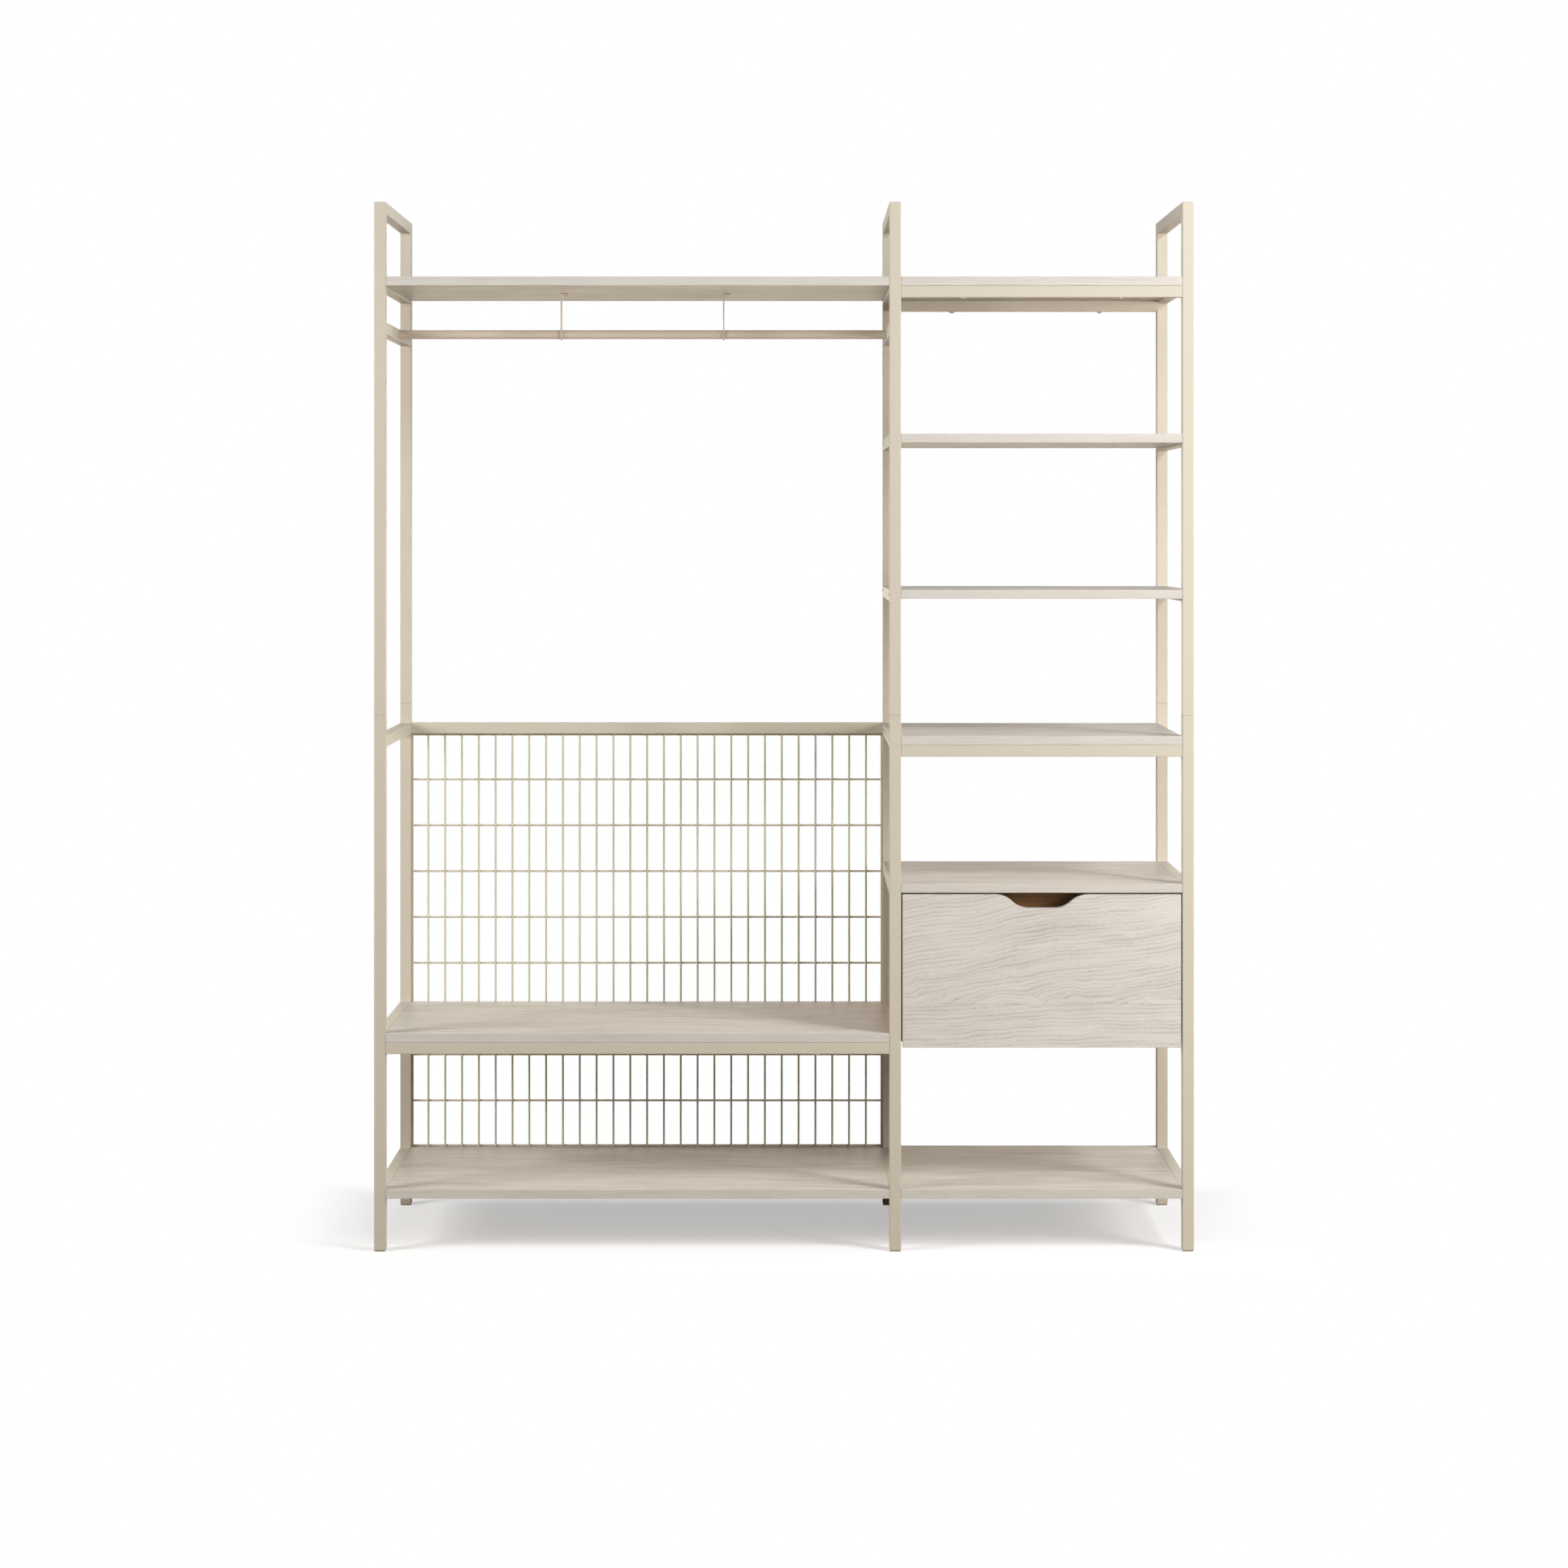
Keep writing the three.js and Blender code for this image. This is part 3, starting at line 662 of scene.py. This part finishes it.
oak_front, tree, bsdf, place = new_material("limed_oak_front")
bsdf.inputs["Specular IOR Level"].default_value = OAK_SPECULAR
use_group(tree, oak_group, bsdf, {
    "Place": place, "Light": FRONT_LIGHT, "Dark": FRONT_DARK, "Spacing": 0.0078, "Wave": 0.060,
    "Slope": -0.34, "Curve": 0.20, "Joint": FRONT_JOINT, "Contrast": 1.0,
}, bump=0.06)
new_piece(
    "drawer_front_panel", eased_copy("drawer_front", FRONT_EDGE), oak_front, "pale_oak", "drawer_front",
    body="drawer",
)


# Drawer box and case
# The drawer slides in a case that hangs under shelf 5. Both are 12 mm oak panels, glued and dowelled, and
# the box's bottom sits in a groove. Their dark brown is painted shade: the warm deep shade of the scoop and
# gaps.
PANEL_EDGE = 0.0005
# Painted shade: the warm dark brown of the deep shade in the scoop and the gaps, laid on every face of these
# panels.
SHADE_BROWN_LIGHT = (0.300, 0.156, 0.060, 1.0)
SHADE_BROWN_DARK = (0.112, 0.052, 0.018, 1.0)
BROWN_SPECULAR = 0.3

BROWN_PANELS = {
    "across": (("drawer_back", "drawer"), ("drawer_bottom", "drawer"), ("case_rail_front", "wardrobe"),
               ("case_rail_rear", "wardrobe")),
    "along": (("drawer_side_left", "drawer"), ("drawer_side_right", "drawer"), ("case_side_left", "wardrobe"),
              ("case_side_right", "wardrobe")),
}

# The grain follows each panel's length, so the sides have it turned a quarter.
for run, panels in BROWN_PANELS.items():
    painted_shade_oak, tree, bsdf, place = new_material(f"painted_shade_oak_{run}")
    bsdf.inputs["Specular IOR Level"].default_value = BROWN_SPECULAR
    turn = math.pi / 2 if run == "along" else 0.0
    place = add_node(tree, "ShaderNodeMapping", {"Vector": place, "Rotation": (0.0, 0.0, turn)}).outputs[0]
    use_group(tree, oak_group, bsdf, {
        "Place": place, "Light": SHADE_BROWN_LIGHT, "Dark": SHADE_BROWN_DARK, "Spacing": 0.0075, "Wave": 0.045,
        "Slope": 0.02, "Curve": 0.0, "Joint": NO_JOINT, "Contrast": 1.3,
    }, bump=0.35, depth=0.0002)
    for name, body in panels:
        new_piece(f"{name}_panel", eased_copy(name, PANEL_EDGE), painted_shade_oak, "brown_wood", name, body=body)


# Runners
# Side mounted telescopic runners of zinc plated steel in three members: the outer one is on the case, the
# inner one on the drawer, and the middle one travels half as far.
RUNNER_EDGE = 0.0003
ZINC_COLOR = (0.50, 0.50, 0.49, 1.0)
ZINC_SHADE = (0.38, 0.38, 0.38, 1.0)

zinc, tree, bsdf, place = new_material("zinc")
bsdf.inputs["Metallic"].default_value = 1.0
use_group(tree, coat_group, bsdf, {
    "Place": place, "Color": ZINC_COLOR, "Shade": ZINC_SHADE, "Grain": 700.0, "Cloud": 30.0,
}, bump=0.2)
for side in ("left", "right"):
    for member, body in (("outer", "wardrobe"), ("middle", f"runner_{side}"), ("inner", "drawer")):
        name = f"runner_{member}_{side}"
        new_piece(f"{name}_channel", eased_copy(name, RUNNER_EDGE), zinc, "runner_steel", name, body=body)


# Screws
# Pan head screws of zinc plated steel with a cross recess. Long ones go up through the rails into the
# boards. Short ones hold the ends of three shelves, the runners and the rod hangers.
HEAD_PROFILE = ((0.0, 1.0), (0.42, 0.97), (0.72, 0.82), (0.92, 0.55), (1.0, 0.25), (1.0, 0.0), (0.0, 0.0))
HEAD_STEPS = 24
CROSS_FOOT = 0.14
CROSS_MOUTH = 0.36
CROSS_WIDTH = 0.22
CROSS_HEIGHT = 0.85
LONG_HEAD_HEIGHT = 0.0035
SHANK = 0.0025
SHANK_TIP = 0.0018
SHANK_SIDES = 16


def recessed_head(diameter, height):
    """The mesh of a pan head that points up from the origin, with a tapered cross cut into it."""
    bm = bmesh.new()
    points = [bm.verts.new((out * diameter / 2, 0.0, up * height)) for out, up in HEAD_PROFILE]
    lines = [bm.edges.new(pair) for pair in zip(points, points[1:])]
    bmesh.ops.spin(
        bm, geom=points + lines, cent=(0, 0, 0), axis=(0, 0, 1), angle=2 * math.pi, steps=HEAD_STEPS,
        use_merge=True,
    )
    bmesh.ops.remove_doubles(bm, verts=bm.verts, dist=SAME)
    bmesh.ops.recalc_face_normals(bm, faces=bm.faces)
    head_mesh = bpy.data.meshes.new("head")
    bm.to_mesh(head_mesh)
    bm.free()
    cross = bmesh.new()
    for turn in (0.0, math.pi / 2):
        place = Matrix.Rotation(turn, 4, "Z") @ Matrix.Diagonal((1.0, CROSS_WIDTH, 1.0, 1.0))
        arm = bmesh.ops.create_cone(
            cross, cap_ends=True, segments=4, radius1=diameter * CROSS_FOOT, radius2=diameter * CROSS_MOUTH,
            depth=height, matrix=place @ Matrix.Rotation(math.pi / 4, 4, "Z"),
        )
        bmesh.ops.translate(cross, verts=arm["verts"], vec=(0, 0, height * CROSS_HEIGHT))
    cross_mesh = bpy.data.meshes.new("cross")
    cross.to_mesh(cross_mesh)
    cross.free()
    head = bpy.data.objects.new("head", head_mesh)
    cutter = bpy.data.objects.new("cross", cross_mesh)
    for part in (head, cutter):
        bpy.context.scene.collection.objects.link(part)
    cut = head.modifiers.new("recess", "BOOLEAN")
    cut.operation = "DIFFERENCE"
    cut.solver = "EXACT"
    cut.use_self = True
    cut.object = cutter
    bpy.context.view_layer.update()
    done = bpy.data.meshes.new_from_object(head.evaluated_get(bpy.context.evaluated_depsgraph_get()))
    for part in (head, cutter):
        bpy.data.objects.remove(part)
    return done


def add_head(bm, mesh, place, towards):
    """Puts a head into a mesh at a place, facing a direction."""
    before = len(bm.verts)
    bm.from_mesh(mesh)
    bm.verts.ensure_lookup_table()
    turn = Vector(towards).to_track_quat("Z", "X").to_matrix().to_4x4()
    bmesh.ops.transform(bm, matrix=Matrix.Translation(place) @ turn, verts=bm.verts[before:])


for name in [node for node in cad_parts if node.startswith("screw_")]:
    low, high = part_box(name)
    middle = (low + high) / 2
    neck = low.z + LONG_HEAD_HEIGHT
    bm = bmesh.new()
    head = recessed_head(high.x - low.x, LONG_HEAD_HEIGHT)
    add_head(bm, head, (middle.x, middle.y, neck), (0, 0, -1))
    add_round(
        bm, (middle.x, middle.y, (neck + high.z) / 2), SHANK, high.z - neck, SHANK_SIDES, lying=False,
        tip=SHANK_TIP,
    )
    new_piece(f"{name}_pan_head", bm, zinc, "zinc", name)

# Two in each of the middle frame's bars at shelves 2 to 4.
BAR_HEAD = (0.0068, 0.0019)
BAR_HEAD_INSET = 0.016
bar_head = recessed_head(*BAR_HEAD)
face_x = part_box("frame_middle_upper")[0].x
for name in ("shelf_2", "shelf_3", "shelf_4"):
    low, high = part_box(f"board_{name}")
    bm = bmesh.new()
    for y in (low.y + TUBE + BAR_HEAD_INSET, high.y - BAR_HEAD_INSET):
        add_head(bm, bar_head, (face_x, y, (low.z + high.z) / 2), (-1, 0, 0))
    new_piece(f"screws_{name}", bm, zinc, "zinc")

# Three in the web of each runner's inner member.
RUNNER_HEAD = (0.007, 0.0016)
RUNNER_HEAD_INSET = 0.035
RUNNER_METAL = 0.0014
runner_head = recessed_head(*RUNNER_HEAD)
for side, facing in (("left", -1), ("right", 1)):
    low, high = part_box(f"runner_inner_{side}")
    web_x = high.x - RUNNER_METAL if side == "left" else low.x + RUNNER_METAL
    bm = bmesh.new()
    for y in (low.y + RUNNER_HEAD_INSET, (low.y + high.y) / 2, high.y - RUNNER_HEAD_INSET):
        add_head(bm, runner_head, (web_x, y, (low.z + high.z) / 2), (facing, 0, 0))
    new_piece(f"screws_runner_{side}", bm, zinc, "zinc", body="drawer")

# One in the flange of each rod hanger.
HANGER_HEAD = (0.007, 0.0018)
HANGER_HEAD_INSET = 0.0105
HANGER_METAL = 0.0022
hanger_head = recessed_head(*HANGER_HEAD)
for side in ("left", "right"):
    low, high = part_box(f"rod_hanger_{side}")
    place = (low.x + HANGER_HEAD_INSET, (low.y + high.y) / 2, high.z - HANGER_METAL)
    bm = bmesh.new()
    add_head(bm, hanger_head, place, (0, 0, -1))
    new_piece(f"screw_hanger_{side}", bm, zinc, "zinc")


# Sleeves and glides
# Plain steel sleeves inside the posts hold the upper halves on the lower ones. A moulded plastic glide is
# plugged into each foot, and its rim stops just short of the post.
RIM_GAP = 0.0003
RIM_CORNER = 0.0020
STEM_INSET = 0.0025
STEM_START = 0.0010
STEM_CORNER = 0.0010
GLIDE_EDGE = 0.0005
GLIDE_COLOR = (0.42, 0.36, 0.27, 1.0)
GLIDE_SHADE = (0.36, 0.31, 0.23, 1.0)

for name in [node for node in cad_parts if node.startswith("sleeve_")]:
    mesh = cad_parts[name].data
    mesh.materials.clear()
    mesh.materials.append(zinc)

glide_plastic, tree, bsdf, place = new_material("glide_plastic")
use_group(tree, coat_group, bsdf, {
    "Place": place, "Color": GLIDE_COLOR, "Shade": GLIDE_SHADE, "Grain": 500.0, "Cloud": 30.0,
}, bump=0.3)
post_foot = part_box("frame_left_lower")[0].z
for name in [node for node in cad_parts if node.startswith("glide_")]:
    low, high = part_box(name)
    stem_low = (low.x + STEM_INSET, low.y + STEM_INSET, STEM_START)
    stem_high = (high.x - STEM_INSET, high.y - STEM_INSET, high.z)
    bm = bmesh.new()
    add_bar(bm, low, (high.x, high.y, post_foot - RIM_GAP), 2, RIM_CORNER, GLIDE_EDGE)
    add_bar(bm, stem_low, stem_high, 2, STEM_CORNER, GLIDE_EDGE)
    new_piece(f"{name}_plug", bm, glide_plastic, "glide_plastic", name)
